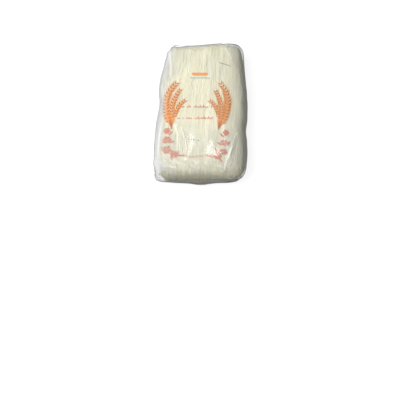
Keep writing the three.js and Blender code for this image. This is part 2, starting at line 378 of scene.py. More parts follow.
def rice_material():
    """Dried rice noodle: ivory, a little translucent, each strand of its own tone."""
    material, shader = new_material("rice")
    nodes = Nodes(material)
    tone = nodes.attribute("tone")
    drift = nodes.noise(nodes.object_place(), 120.0, 3.0)
    mixed = nodes.math("ADD", nodes.math("MULTIPLY", tone, 0.7), nodes.math("MULTIPLY", drift, 0.3))
    colour = nodes.ramp(mixed, [(0.12, RICE_DEEP), (0.42, RICE_BODY), (0.85, RICE_PALE)])
    nodes.link(colour, shader.inputs["Base Color"])
    grain = nodes.noise(nodes.object_place((1.0, 0.3, 1.0)), 2600.0)
    nodes.link(nodes.bump(grain, 0.05 * MM, 0.5), shader.inputs["Normal"])
    shader.inputs["Roughness"].default_value = 0.42
    shader.inputs["Specular IOR Level"].default_value = 0.35
    shader.inputs["Subsurface Weight"].default_value = 0.5
    shader.inputs["Subsurface Radius"].default_value = (1.0, 0.85, 0.6)
    shader.inputs["Subsurface Scale"].default_value = 1.2 * MM
    return material


def core_material():
    """The mass of noodles below those that show: the same ivory in shade, streaked lengthwise."""
    material, shader = new_material("rice_core")
    nodes = Nodes(material)
    streaks = nodes.noise(nodes.object_place((1.0, 0.06, 1.0)), 900.0)
    colour = nodes.ramp(streaks, [(0.35, CORE_DEEP), (0.65, CORE_PALE)])
    nodes.link(colour, shader.inputs["Base Color"])
    nodes.link(nodes.bump(streaks, 0.5 * MM), shader.inputs["Normal"])
    shader.inputs["Roughness"].default_value = 0.6
    return material


FILM_IOR = 1.5
FILM_CLEAR = (0.985, 0.985, 0.98, 1.0)  # what one layer of film lets through
FILM_MILKY, FILM_CREASE_HIGHLIGHT = (0.52, 0.525, 0.52), (0.95, 0.95, 0.93)  # its haze, and a whiter haze along a crease, painted highlight for the light that a crease mirrors
FILM_SHINE = 1.7  # how much more than bare film it mirrors, because it is glossy on both sides
EDGE_HAZE, EDGE_POWER = 0.45, 4.0  # the film looks milkier where it is seen at a slant
LOOSE_HAZE = 0.10  # and where it stands off the noodles
SLANT_HAZE, SLANT_POWER = 1.15, 2.4  # which shows most at a slant
CREASE_HIGHLIGHT = 0.3  # and white along its creases, as painted highlight


def film_material(name, haze):
    """Clear glossy film: what is behind shows through a faint haze, with hard reflections on top."""
    material, shader = new_material(name)
    nodes = Nodes(material)
    nodes.tree.nodes.remove(shader)
    ripple = nodes.noise(nodes.object_place((1.0, 0.35, 1.0)), 260.0)
    normal = nodes.bump(ripple, 0.12 * MM, 0.6)

    clear = nodes.add("ShaderNodeBsdfTransparent")
    clear.inputs["Color"].default_value = FILM_CLEAR
    milky = nodes.add("ShaderNodeBsdfDiffuse")
    # Along a crease the haze turns white: a painted highlight for what the crease mirrors
    crease = nodes.attribute("crease")
    nodes.link(nodes.mix_colours(crease, FILM_MILKY, FILM_CREASE_HIGHLIGHT), milky.inputs["Color"])
    gloss = nodes.add("ShaderNodeBsdfGlossy")
    gloss.inputs["Color"].default_value = (1.0, 1.0, 1.0, 1.0)
    gloss.inputs["Roughness"].default_value = 0.2
    fresnel = nodes.add("ShaderNodeFresnel")
    inside = nodes.add("ShaderNodeNewGeometry").outputs["Backfacing"]
    drop = nodes.math("MULTIPLY", inside, FILM_IOR - 1 / FILM_IOR)
    nodes.link(nodes.math("SUBTRACT", FILM_IOR, drop), fresnel.inputs["IOR"])
    for socket in (fresnel.inputs["Normal"], gloss.inputs["Normal"]):
        nodes.link(normal, socket)

    cloud = nodes.noise(nodes.object_place((1.0, 0.5, 1.0)), 45.0, 3.0)
    share = nodes.math("MULTIPLY", nodes.math("ADD", cloud, nodes.attribute("haze")), haze)
    slant = nodes.add("ShaderNodeLayerWeight")
    slant.inputs["Blend"].default_value = 0.5
    edge = nodes.math("POWER", slant.outputs["Facing"], EDGE_POWER)
    share = nodes.math("ADD", share, nodes.math("MULTIPLY", edge, EDGE_HAZE))
    slanted = nodes.math("POWER", slant.outputs["Facing"], SLANT_POWER)
    milkier = nodes.math("ADD", nodes.math("MULTIPLY", slanted, SLANT_HAZE), LOOSE_HAZE)
    loose = nodes.math("MULTIPLY", milkier, nodes.attribute("loose"))
    share = nodes.math("ADD", share, loose)
    share = nodes.math("ADD", share, nodes.math("MULTIPLY", crease, CREASE_HIGHLIGHT), clamp=True)
    body = nodes.add("ShaderNodeMixShader")
    nodes.link(share, body.inputs["Fac"])
    nodes.link(clear.outputs["BSDF"], body.inputs[1])
    nodes.link(milky.outputs["BSDF"], body.inputs[2])
    shine = nodes.math("MULTIPLY", fresnel.outputs["Fac"], FILM_SHINE, clamp=True)
    whole = nodes.add("ShaderNodeMixShader")
    nodes.link(shine, whole.inputs["Fac"])
    nodes.link(body.outputs["Shader"], whole.inputs[1])
    nodes.link(gloss.outputs["BSDF"], whole.inputs[2])
    nodes.link(whole.outputs["Shader"], nodes.tree.nodes["Material Output"].inputs["Surface"])
    return material


def ink_material(name, colour, cover):
    """Ink printed inside the film, thin enough for the noodles to show faintly."""
    material, shader = new_material(name)
    nodes = Nodes(material)
    spread = nodes.noise(nodes.object_place(), 700.0, 3.0)
    darker = tuple(c * 0.72 for c in colour)
    nodes.link(nodes.ramp(spread, [(0.3, darker), (0.7, colour)]), shader.inputs["Base Color"])
    shader.inputs["Roughness"].default_value = 0.45
    clear = nodes.add("ShaderNodeBsdfTransparent")
    whole = nodes.add("ShaderNodeMixShader")
    amount = nodes.math("ADD", nodes.math("MULTIPLY", spread, 0.3), cover - 0.15, clamp=True)
    nodes.link(amount, whole.inputs["Fac"])
    nodes.link(clear.outputs["BSDF"], whole.inputs[1])
    nodes.link(shader.outputs["BSDF"], whole.inputs[2])
    nodes.link(whole.outputs["Shader"], nodes.tree.nodes["Material Output"].inputs["Surface"])
    return material


# ---------------------------------------------------------------- the film skin

# Loose film stands up along these lines: from (x, y) to (x, y) in mm, sideways bow, height, width
TOP_CREASES = [
    ((40.5, -60), (30, -95), -1.0, 0.9, 1.2),
    ((45, -40), (36, -93), -3.0, 0.6, 1.8),
    ((-34, -28), (-27, -74), 2.0, 0.8, 1.4),
    ((-28, -34), (-16, -80), 3.0, 0.7, 1.3),
    ((-47, -20), (-49, -84), -3.0, 0.4, 1.2),
    ((-38, 24), (-26, 34), 1.0, 0.4, 1.0),
    ((-49, 80), (-43, 20), 2.0, 0.6, 1.8),
    ((8, -34), (12, -56), 1.0, 0.4, 1.2),
    ((-12, -86), (10, -93), 1.5, 0.35, 1.1),
    ((-34, -84), (-8, -93), -1.5, 0.45, 1.1),
    ((-44, -92.5), (-26, -94.5), 0.6, 0.5, 1.0),
    ((8, -86), (34, -92), 1.0, 0.4, 1.0),
    ((30, 92), (42, 56), -2.0, 0.6, 1.6),
    ((16, 94), (34, 72), 2.0, 0.4, 1.4),
]


def crease_lift(points):
    """How far the loose film along each crease stands up, for points on the upper side."""
    lift = np.zeros(len(points))
    flat = points[:, :2] / MM
    upper = smooth_step(MIDDLE, MIDDLE + 12 * MM, points[:, 2])
    for start, end, bow, height, width in TOP_CREASES:
        a, b = np.array(start, float), np.array(end, float)
        along = (b - a) / np.linalg.norm(b - a)
        side = np.array([-along[1], along[0]])
        run = (flat - a) @ along / np.linalg.norm(b - a)
        arch = np.clip(4 * run * (1 - run), 0, None)
        away = (flat - a) @ side - bow * arch
        lift += height * np.exp(-((away / width) ** 2)) * np.sqrt(arch) * (run > 0) * (run < 1)
    return lift * upper * MM


def film_skin():
    """The bag's skin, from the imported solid's own outline."""
    film = copied(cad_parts[PACK], "film_bag")
    film.parent = None
    for key in list(film.keys()):
        del film[key]
    select_only(film)
    bpy.ops.object.mode_set(mode="EDIT")
    bpy.ops.mesh.select_all(action="SELECT")
    bpy.ops.mesh.remove_doubles(threshold=0.001 * MM)
    bpy.ops.object.mode_set(mode="OBJECT")
    apply_modifier(film, "REMESH", mode="VOXEL", voxel_size=FILM_CELL, use_smooth_shade=True)
    apply_modifier(film, "SMOOTH", factor=0.5, iterations=FILM_SMOOTHING)
    span = film.vertex_groups.new(name="span")  # where the film is drawn flat over the strands
    for k, (x, y, z) in enumerate(coordinates(film) / MM):
        inner = smooth_step(*SPAN_ACROSS, abs(x)) * smooth_step(*SPAN_ALONG, abs(y))
        inner *= smooth_step(*SPAN_ABOVE, z)
        span.add([k], float(inner), "REPLACE")
    apply_modifier(film, "SMOOTH", factor=0.5, iterations=FILM_SPAN, vertex_group="span")
    film.vertex_groups.clear()
    return film


def looseness(points):
    """How freely the film creases: it is tight on the upper side and slack at its edges and near end."""
    x, y, z = (points / MM).T
    upper = smooth_step(30.0, 38.0, z)
    edge = smooth_step(30.0, 46.0, np.abs(x)) + smooth_step(74.0, 88.0, y) + smooth_step(0.0, -60.0, y)
    return 1.0 - TOP_TIGHTNESS * upper * (1.0 - np.clip(edge, 0.0, 1.0))


def drape(film):
    """Lets the film settle round the noodles as cloth, and keeps what moved no farther than the cap."""
    placed, outward = coordinates(film), normals(film)
    form = copied(film, "drape_form")
    apply_modifier(form, "DECIMATE", ratio=0.4)
    placed_form, outward_form = coordinates(form), normals(form)
    depth = np.minimum([slack(Vector(p)) - FILM_GAP for p in placed_form], DRAPE_DEPTH)
    set_coordinates(form, (placed_form - outward_form * depth[:, None]) * DRAPE_SCALE)
    form.modifiers.new("collision", "COLLISION")  # its distances are at the drape's scale
    form.collision.thickness_outer = 0.01
    form.collision.thickness_inner = 0.05
    form.collision.cloth_friction = 15.0
    set_coordinates(film, placed * DRAPE_SCALE)
    cloth = film.modifiers.new("drape", "CLOTH")
    settings = cloth.settings
    settings.quality = 5
    settings.mass = 0.15
    settings.tension_stiffness = settings.compression_stiffness = 25.0
    settings.shear_stiffness = 15.0
    settings.bending_stiffness = 1.0
    settings.air_damping = 1.5
    settings.use_pressure = True
    settings.uniform_pressure_force = -1.0
    settings.shrink_min = -DRAPE_SPARE
    settings.effector_weights.gravity = 0.0
    cloth.collision_settings.distance_min = 0.008
    cloth.collision_settings.use_self_collision = False
    cloth.point_cache.frame_start = 1
    cloth.point_cache.frame_end = DRAPE_FRAMES
    for moment in range(1, DRAPE_FRAMES + 1):
        bpy.context.scene.frame_set(moment)
    select_only(film)
    bpy.ops.object.modifier_apply(modifier=cloth.name)
    bpy.context.scene.frame_set(1)
    bpy.data.objects.remove(form)
    moved = coordinates(film) / DRAPE_SCALE - placed
    far = np.linalg.norm(moved, axis=1)
    moved *= (DRAPE_CAP / np.maximum(far, DRAPE_CAP))[:, None]
    rise = (moved * outward).sum(1)
    moved -= outward * np.clip(rise - DRAPE_RISE, 0, None)[:, None]
    set_coordinates(film, placed + moved * looseness(placed)[:, None])


CORNER_PLACE = np.array([-50.0, -94.0, 9.0])  # mm
CORNER_REACH = (15.0, 2.0)  # mm from there: where the pull starts, and where it is full
CORNER_PULL = np.array([-4.2, -3.6, 0.0])  # mm


def corner_pull(points):
    """The empty lower near corner of the film on the left, drawn out past the noodles."""
    away = np.linalg.norm(points / MM - CORNER_PLACE, axis=1)
    return smooth_step(*CORNER_REACH, away)[:, None] * CORNER_PULL * MM


LOWEST_FILM = 0.3 * MM
DULL_CORNERS, DULL_NEAR, DULL_EDGE = 1.7, 1.2, 1.8  # extra haze: left corners, near half, left edge


def film_haze(points):
    """How much milkier and greyer the upper side of the film is made towards its left edge, its left
    corners and its near half.
    """
    x, y, z = points.T / MM
    ends = smooth_step(24.0, 42.0, y) + smooth_step(-78.0, -90.0, y)
    dull = DULL_CORNERS * smooth_step(-20.0, -44.0, x) * ends
    dull += DULL_NEAR * smooth_step(-25.0, -60.0, y) + DULL_EDGE * smooth_step(-42.0, -50.0, x)
    return dull * smooth_step(26.0, 34.0, z)


def slacken(film):
    """Gives the draped film its longer creases, inside the solid's own box."""
    apply_modifier(film, "SUBSURF", levels=1, render_levels=1)
    points, outward = coordinates(film), normals(film)
    above = smooth_step(0.0, 8 * MM, points[:, 2])  # the film is flat where it lies
    lift = crease_lift(points)
    moved = points + outward * (lift * above)[:, None] + corner_pull(points)
    lowest, highest = np.array([LOW.x, LOW.y, LOWEST_FILM]), np.array(HIGH)
    set_coordinates(film, np.clip(moved, lowest, highest))
    add_weights(film, "haze", film_haze(points))
    loose = smooth_step(1.6, 5.5, np.array([slack(Vector(p)) for p in points]) / MM)
    loose += 0.5 * smooth_step(-46.0, -52.0, points[:, 0] / MM)
    add_weights(film, "loose", np.clip(loose, 0, 1))
    # how far each crease stands up, which the film material turns into a painted highlight
    add_weights(film, "crease", np.clip(lift / MM, 0, 1))


# ---------------------------------------------------------------- folded ends and long seam


def sheet(name, columns, rows, place, thickness, rim=0.6):
    """A piece of film from a grid of points, given its thickness; place(s, t) runs from 0 to 1 each way."""
    points = [place(k / columns, j / rows) for j in range(rows + 1) for k in range(columns + 1)]
    row = columns + 1
    faces = [
        (j * row + k, j * row + k + 1, (j + 1) * row + k + 1, (j + 1) * row + k)
        for j in range(rows)
        for k in range(columns)
    ]
    mesh = bpy.data.meshes.new(name)
    mesh.from_pydata([tuple(p) for p in points], [], faces)
    obj = bpy.data.objects.new(name, mesh)
    bpy.context.scene.collection.objects.link(obj)
    edge = [
        rim - rim * min(1.0, 8.0 * min(k / columns, 1 - k / columns, j / rows, 1 - j / rows))
        for j in range(rows + 1)
        for k in range(columns + 1)
    ]
    add_weights(obj, "haze", edge)
    apply_modifier(obj, "SOLIDIFY", thickness=thickness, offset=0.0)
    select_only(obj)
    bpy.ops.object.mode_set(mode="EDIT")
    bpy.ops.mesh.select_all(action="SELECT")
    bpy.ops.mesh.normals_make_consistent(inside=False)
    bpy.ops.object.mode_set(mode="OBJECT")
    shade_smooth(obj)
    return obj


def on_end(tree, x, z, sign, proud):
    """The point that stands proud of the film on an end, at x and z in mm."""
    origin = Vector((x, 0.0, z)) * MM
    hit, normal, _, _ = tree.ray_cast(origin, Vector((0.0, sign, 0.0)), REACH)
    if hit is None:
        hit, normal = Vector((x * MM, sign * HIGH.y * 0.9, z * MM)), Vector((0.0, sign, 0.0))
    if abs(normal.y) < 0.2:  # a crease that lies across the ray
        normal = Vector((0.0, sign, 0.0))
    if normal.y * sign < 0:
        normal = -normal
    return hit + normal * (proud * MM)


# Heights in mm, widths as shares of the end's half width from the foot up
THICKNESS, LEAN = 41.0, 12.0  # the pack's, and how far its top lies over towards -X
FLAP_LOW, FLAP_HIGH = 7.0, (20.0, 35.0)  # the flap's foot, and its top at the near and at the far end
FLAP_WIDTH, FLAP_PROUD = (0.86, 0.5), 0.75
SEAL_LOW, SEAL_HIGH = 3.0, 12.0
SEAL_WIDTH, SEAL_PROUD = (0.80, 0.83), 0.7
SEAL_HANG = 0.6  # how far the middle of the seal hangs out
RIB_HEIGHT, RIB_PITCH = 0.22, 1.9
TUCK_LOW, TUCK_WIDTH, TUCK_EDGE, TUCK_PROUD = 8.0, (0.87, 0.6), 0.95, 0.35


def leaned(x, z):
    """Where a point across the pack comes to lie at a height, because the pack leans."""
    return x - LEAN * (z / THICKNESS - 0.5)


def end_folds(tree, sign, wide):
    """One end of the bag: the sides tucked in, the flap folded down over them, and the crimped seal."""
    which = "near" if sign < 0 else "far"

    def flap(s, t):
        z = mix(FLAP_LOW, FLAP_HIGH[sign > 0], t)
        x = leaned(wide * mix(*FLAP_WIDTH, t) * (2 * s - 1), z)
        wave = noise.noise(Vector((x / 9.0, z / 14.0, 30.0 * sign)))
        return on_end(tree, x, z, sign, FLAP_PROUD + 0.5 * wave)

    def seal(s, t):
        z = mix(SEAL_LOW, SEAL_HIGH, t)
        x = leaned(wide * mix(*SEAL_WIDTH, t) * (2 * s - 1), z)
        rib = RIB_HEIGHT * math.sin(x * 2 * math.pi / RIB_PITCH)
        sag = 0.5 * noise.noise(Vector((x / 17.0, 5.0, sign)))
        hang = SEAL_HANG * math.exp(-(((2 * s - 1) / 0.24) ** 2)) * (1 - 0.5 * t)
        proud = SEAL_PROUD + rib + 0.2 * (1 - t)
        return on_end(tree, x, z + sag, sign, proud) + Vector((0, sign * hang, 0)) * MM

    def tuck(side):
        def place(s, t):
            z = mix(TUCK_LOW, FLAP_HIGH[sign > 0] - 2.0, t)
            x = leaned(side * wide * mix(mix(*TUCK_WIDTH, t), TUCK_EDGE, s), z)
            wave = noise.noise(Vector((x / 5.0, z / 9.0, 50.0 + sign)))
            return on_end(tree, x, z, sign, TUCK_PROUD + 0.3 * wave)

        return place

    return [
        sheet(f"end_flap_{which}", 48, 20, flap, THICK_FILM, 0.3),
        sheet(f"end_seal_{which}", 190, 8, seal, THICK_FILM, 0.3),
        sheet(f"end_tuck_left_{which}", 14, 20, tuck(-1), THICK_FILM, 0.0),
        sheet(f"end_tuck_right_{which}", 14, 20, tuck(1), THICK_FILM, 0.0),
    ]


SEAM_HALF_WIDTH, SEAM_HALF_LENGTH, SEAM_HEIGHT = 5.5, 84.0, 0.15  # mm
SEAM_THICKNESS = 0.2 * MM


def long_seam():
    """The long seam, folded flat under the pack."""
    middle = leaned(0.0, 0.0)

    def place(s, t):
        x = middle + mix(-SEAM_HALF_WIDTH, SEAM_HALF_WIDTH, s)
        return Vector((x, mix(-SEAM_HALF_LENGTH, SEAM_HALF_LENGTH, t), SEAM_HEIGHT)) * MM

    return sheet("long_seam", 6, 60, place, SEAM_THICKNESS)


# The pinched corner in mm: the line that it rises from, and its point
TIP_FOOT = [(-51, 80, 29), (-47, 87, 31), (-42, 89, 34), (-37, 89.5, 35.5), (-32, 89, 36.5)]
TIP_POINT = (-46.0, 93.6, 30.0)
TIP_WIDTH, TIP_PLEAT = 3.0, 0.8


def corner_tip():
    """A corner of film pinched to a point, standing off the far end on the left."""
    foot = [Vector(p) for p in TIP_FOOT]
    tip = Vector(TIP_POINT)

    def place(s, t):
        along = s * (len(foot) - 1)
        k = min(int(along), len(foot) - 2)
        start = foot[k].lerp(foot[k + 1], along - k)
        pleat = TIP_PLEAT * math.sin(s * 4 * math.pi) * (1 - t) * t * 4
        return (start.lerp(tip + Vector((TIP_WIDTH * s, 0.0, 0.0)), t) + Vector((0, 0, pleat))) * MM

    return sheet("corner_tip", 20, 10, place, THICK_FILM)


# ---------------------------------------------------------------- print


def filled(outline, cell=1.2):
    """An outline in mm as points and triangles that are fine enough to lie along the film."""
    outline = np.array(outline, float)
    low, high = outline.min(0), outline.max(0)
    columns, rows = (np.arange(low[axis] + cell / 2, high[axis], cell) for axis in (0, 1))
    grid = np.stack(np.meshgrid(columns, rows), -1).reshape(-1, 2)
    ahead = np.roll(outline, -1, 0)
    crossings = np.zeros(len(grid), int)
    near = np.full(len(grid), np.inf)
    for (x0, y0), (x1, y1) in zip(outline, ahead):
        spans = (y0 > grid[:, 1]) != (y1 > grid[:, 1])
        if y1 != y0:
            crossings += spans & (grid[:, 0] < x0 + (grid[:, 1] - y0) * (x1 - x0) / (y1 - y0))
        near = np.minimum(near, np.hypot(grid[:, 0] - x0, grid[:, 1] - y0))
    inner = grid[(crossings % 2 == 1) & (near > cell * 0.6)]
    points = [Vector(p) for p in np.concatenate([outline, inner])]
    made = delaunay_2d_cdt(points, [], [list(range(len(outline)))], 1, 1e-6)
    return made[0], made[2]


class Print:
    """Fields of one ink, laid just under the upper side of the film."""

    def __init__(self, tree, depth=0.2):
        self.tree = tree
        self.depth = depth * MM
        self.points, self.faces = [], []

    def field(self, outline):
        points, faces = filled(outline)
        first = len(self.points)
        for p in points:
            start = Vector((p.x * MM, p.y * MM, HIGH.z + 10 * MM))
            hit, normal, _, _ = self.tree.ray_cast(start, Vector((0, 0, -1)), REACH)
            self.points.append(tuple(hit - normal * self.depth))
        self.faces += [tuple(first + k for k in face) for face in faces]

    def make(self, name):
        mesh = bpy.data.meshes.new(name)
        mesh.from_pydata(self.points, [], self.faces)
        mesh.update()
        obj = bpy.data.objects.new(name, mesh)
        bpy.context.scene.collection.objects.link(obj)
        shade_smooth(obj)
        return obj


def turned(points, place, angle):
    """Points turned by an angle and moved to a place."""
    c, s = math.cos(angle), math.sin(angle)
    return [(place[0] + c * x - s * y, place[1] + s * x + c * y) for x, y in points]


def leaf(length, width, count=12, fullness=0.8):
    """A pointed oval from the origin along +X; more fullness moves its widest place towards its tip."""
    half = count // 2
    upper = [
        (length * k / half, width / 2 * math.sin(math.pi * (k / half) ** fullness))
        for k in range(half + 1)
    ]
    lower = [(x, -y) for x, y in upper[-2:0:-1]]
    return upper + lower


def bar(length, height, steps=None):
    """A bar with round ends, centred on the origin."""
    r = height / 2
    steps = steps or max(2, int(length / 1.5))
    points = [(mix(-length / 2 + r, length / 2 - r, k / steps), -r) for k in range(steps + 1)]
    points += [(length / 2 - r + r * math.cos(a), r * math.sin(a)) for a in (-0.8, 0.0, 0.8)]
    points += [(mix(length / 2 - r, -length / 2 + r, k / steps), r) for k in range(steps + 1)]
    points += [(-length / 2 + r - r * math.cos(a), r * math.sin(a)) for a in (0.8, 0.0, -0.8)]
    return points


BEND_STEPS = 12  # short straight pieces between two given points of a bent line


def bent_line(points, count):
    """Even points along a smooth line through the given ones, each with its direction."""
    knots = [Vector((*p, 0.0)) for p in points]
    line = []
    for a, b, c, d in zip([knots[0]] + knots, knots, knots[1:], knots[2:] + [knots[-1]]):
        for k in range(BEND_STEPS):
            t = k / BEND_STEPS
            bend = (2 * b) + (c - a) * t + (2 * a - 5 * b + 4 * c - d) * t * t
            line.append(0.5 * (bend + (3 * b - a - 3 * c + d) * t ** 3))
    line.append(knots[-1])
    run = np.concatenate([[0], np.cumsum([(q - p).length for p, q in zip(line, line[1:])])])
    wanted = np.linspace(0, run[-1], count)
    x = np.interp(wanted, run, [p.x for p in line])
    y = np.interp(wanted, run, [p.y for p in line])
    angles = np.arctan2(np.gradient(y), np.gradient(x))
    return list(zip(x, y, angles))


def stroke(points, width, count):
    """The outline of a thin line along the given points, pointed at its end."""
    line = bent_line(points, count)
    sides = [[], []]
    for k, (x, y, angle) in enumerate(line):
        r = width / 2 * (1 - 0.8 * k / (count - 1))
        sides[0].append((x - r * math.sin(angle), y + r * math.cos(angle)))
        sides[1].append((x + r * math.sin(angle), y - r * math.cos(angle)))
    return sides[1] + sides[0][::-1]


# The print's places and sizes are in mm
# Ears of grain: the line of each stem from its foot, how many pairs of kernels, and a kernel's size
EARS = [
    ([(-36, -42), (-43.5, -26), (-46.5, -7), (-44.5, 10), (-36.5, 24)], 13, (8.6, 3.0)),
    ([(-36, -36), (-38.5, -16), (-36, 1), (-30.5, 14)], 10, (6.0, 2.7)),
    ([(-35, -33), (-33, -19), (-29, -8), (-24, -2)], 7, (5.4, 2.4)),
    ([(21, -40), (27.5, -26), (31, -7), (29.5, 12), (22.5, 26)], 13, (8.3, 2.9)),
    ([(22, -34), (24, -16), (21.5, 1), (16.5, 14)], 10, (5.8, 2.6)),
    ([(21, -31), (19.5, -18), (15.5, -7), (10, -1)], 7, (5.2, 2.3)),
]
# The broad leaf at the foot of each group of ears: foot and direction in degrees
FOOT_LEAVES = [((-36.5, -43), 101), ((20.5, -41), 77)]
# Its veins: turn off its middle in degrees, and length
VEINS = [(-7, 15), (0, 19), (7, 15)]
# Blossoms: middle and radius
BLOSSOMS = [
    ((-42.5, -45), 5.0),
    ((-41, -58), 6.0),
    ((30.5, -44), 4.6),
    ((28.5, -58), 5.4),
    ((-40.5, -72), 6.4),
    ((-31, -78), 6.0),
    ((21, -77), 6.2),
    ((28, -71), 5.0),
]
# Leaves: foot, direction in degrees, length and width
LEAVES = [
    ((-43, -50), 80, 9, 3.0),
    ((-40, -52), 50, 9, 2.8),
    ((-45, -63), 110, 8, 2.8),
    ((-38, -62), 20, 7, 2.6),
    ((30, -49), 95, 10, 2.8),
    ((28, -51), 130, 8, 2.6),
    ((32, -62), 60, 8, 2.6),
    ((26, -62), 150, 7, 2.4),
    ((-45, -70), 160, 7, 3.0),
    ((-36, -76), -25, 12, 3.2),
    ((-35, -81), -70, 6, 2.6),
    ((-27, -80), 5, 9, 2.6),
    ((17, -79), 175, 10, 2.8),
    ((24, -80), -60, 7, 2.6),
    ((26, -74), 20, 9, 3.0),
    ((20, -72), 110, 6, 2.4),
]
# The rule of small leaves along the foot of the print
GARLAND = [(-23, -78), (-12, -80.5), (0, -79), (13, -77)]
# Rows of upright dashes: start and end across, and their height on the pack at both
DASH_ROWS = [(-27.4, 13.6, -10.4, -8.5), (-30.0, 15.4, -27.2, -25.1)]
DASH_TALL, DASH_WIDTH, DASH_STEP, DASH_SPACE = (2.2, 2.6, 2.6, 4.4), 1.05, 1.9, 4.6
# Short teal dashes: where they start, and the length of each, with 0 for a gap
TEAL_START, TEAL_DASHES = -14.5, (1.8, 1.8, 1.8, 0.0, 2.2)
# Two plain bars towards the far end: middle, length and height of each
ORANGE_BAR = ((-6.0, 40.5), 21, 4.2)
TEAL_BAR = ((-6.0, 34.5), 26, 1.2)


KERNEL_TILT = (33, 42)  # degrees that a kernel stands off its stem
PRINT_SEED, NOODLE_SEED = 3, 5


def print_fields(tree):
    """The print on the upper side: ears of grain, blossoms, rows of dashes and plain bars."""
    rng = random.Random(PRINT_SEED)
    orange, red, dashes, teal, grey = (Print(tree) for _ in range(5))
    brown = Print(tree, 0.12)
    for stem, pairs, (length, width) in EARS:
        orange.field(stroke(stem, 1.2, 24))
        orange.field(stroke(stem[1:], 0.4 * length, 24))
        line = bent_line(stem, pairs + 3)[2:]
        for k, (x, y, angle) in enumerate(line):
            grown = math.sin(math.pi * (0.18 + 0.75 * k / len(line))) ** 0.5
            for side in (-1, 1):
                tilt = angle + side * math.radians(rng.uniform(*KERNEL_TILT))
                size = length * grown * rng.uniform(0.9, 1.05)
                orange.field(turned(leaf(size, width * grown), (x, y), tilt))
                orange.field(turned(leaf(size * 1.7, 0.8, 8), (x, y), tilt - side * 0.12))
                at = (x + size * 0.25 * math.cos(tilt), y + size * 0.25 * math.sin(tilt))
                brown.field(turned(leaf(size * 0.6, 1.9, 8), at, tilt + side * 0.05))
    for foot, way in FOOT_LEAVES:
        orange.field(turned(leaf(27, 9.5, 32, 1.3), foot, math.radians(way)))
        for spread, reach in VEINS:
            brown.field(turned(leaf(reach, 1.3, 16), foot, math.radians(way + spread)))
    for middle, radius in BLOSSOMS:
        for k in range(6):
            turn = k * math.pi / 3 + rng.uniform(-0.2, 0.2)
            petal = leaf(radius * rng.uniform(0.85, 1.0), radius * 0.66, 16, 1.7)
            red.field(turned(petal, middle, turn))
    for foot, way, length, width in LEAVES:
        red.field(turned(leaf(length, width), foot, math.radians(way)))
    for k, (x, y, angle) in enumerate(bent_line(GARLAND, 22)):
        red.field(turned(leaf(2.6, 1.0, 8), (x, y), angle + (0.7 if k % 2 else -0.7)))
    for start, end, y0, y1 in DASH_ROWS:
        x = start
        while x < end - 1.6:
            tall = rng.choice(DASH_TALL)
            y = mix(y0, y1, (x - start) / (end - start))
            dashes.field(turned(bar(tall, DASH_WIDTH, 2), (x, y + tall / 2 - 1.5), math.pi / 2))
            x += DASH_STEP if rng.random() < 0.84 else DASH_SPACE
    x = TEAL_START
    for long in TEAL_DASHES:
        if long:
            teal.field(turned(bar(long, 2.2, 2), (x + long / 2, -58 - 0.1 * x), -0.05))
        x += max(long, 1.6) + 0.9
    for ink, (middle, length, height) in ((orange, ORANGE_BAR), (teal, TEAL_BAR)):
        ink.field(turned(bar(length, height), middle, 0.03))
    grey.field(turned(bar(16.5, 0.9), (25.8, 58.8), -0.2))
    return orange, brown, red, dashes, teal, grey


# ---------------------------------------------------------------- noodles


class Brick:
    """Where the noodles may lie: rays from a line through the middle of the pack out to the film."""

    def __init__(self, film):
        self.tree = tree_of(film)
        self.spine = (HIGH.y - LOW.y) / 2 - SPINE_INSET
        self.stations = np.linspace(-self.spine, self.spine, STATIONS)
        self.widths = {
            side: [self.reach(Vector((0, y, MIDDLE)), Vector((side, 0, 0))) for y in self.stations]
            for side in (-1, 1)
        }

    def reach(self, origin, direction):
        """How far the film is from a point inside."""
        hit = self.tree.ray_cast(origin, direction, REACH)[0]
        return (hit - origin).length

    def half_width(self, y, side):
        """How far the film is from the pack's middle line, at y and towards a side."""
        return float(np.interp(y, self.stations, self.widths[1 if side > 0 else -1]))

    def inside(self, origin, direction, depth):
        """The point that lies depth under the film, where a ray from origin meets it."""
        hit, normal, _, _ = self.tree.ray_cast(origin, direction, REACH)
        place = hit - normal * (depth + slack(hit))
        place.z = max(place.z, LOWEST_STRAND)
        return place


def slack(point):
    """How far the film stands off the noodles at a point of the film."""
    x, y, z = point / MM
    left = 3.9 - 2.0 * smooth_step(-15.0, 20.0, y) + 4.4 * smooth_step(45.0, 88.0, y)
    left += 0.5 * math.sin(y / 9.0)
    left *= smooth_step(-41.0, -54.0, x)
    corner = 1.0 * smooth_step(66.0, 96.0, y) * smooth_step(20.0, 46.0, x)
    ends = 0.5 * smooth_step(80.0, 97.0, y)
    near_corners = 1.0 * smooth_step(-72.0, -95.0, y) * smooth_step(35.0, 56.0, abs(x))
    return (0.85 + left + corner + ends + near_corners) * MM * smooth_step(-1.0, 5.0, z)


def wander(across, along, seed):
    """The sideways stray of the strands that lie together, in mm."""
    slow = noise.noise(Vector((across * 2.0, along / 60, seed)))
    quick = noise.noise(Vector((across * 7.0, along / 26, seed + 7)))
    return 1.3 * slow + 0.25 * quick


def bundle_depth(across, along, seed):
    """How much deeper one strand's bundle lies than the next, in mm."""
    rolls = 0.5 + 0.5 * noise.noise(Vector((across * 11.0, along / 55, seed + 3)))
    skein = abs((across + 1) * 2 - round((across + 1) * 2) + 0.1 * math.sin(along / 24))
    groove = 0.05 * math.exp(-((skein / 0.07) ** 2)) if abs(across) < 0.8 else 0.0
    return 0.04 * rolls + groove


def own_stray(phase, along):
    """The small waves of one strand alone, in mm."""
    return 0.16 * math.sin(along / 11.0 + phase) + 0.06 * math.sin(along / 4.1 + phase * 2.3)


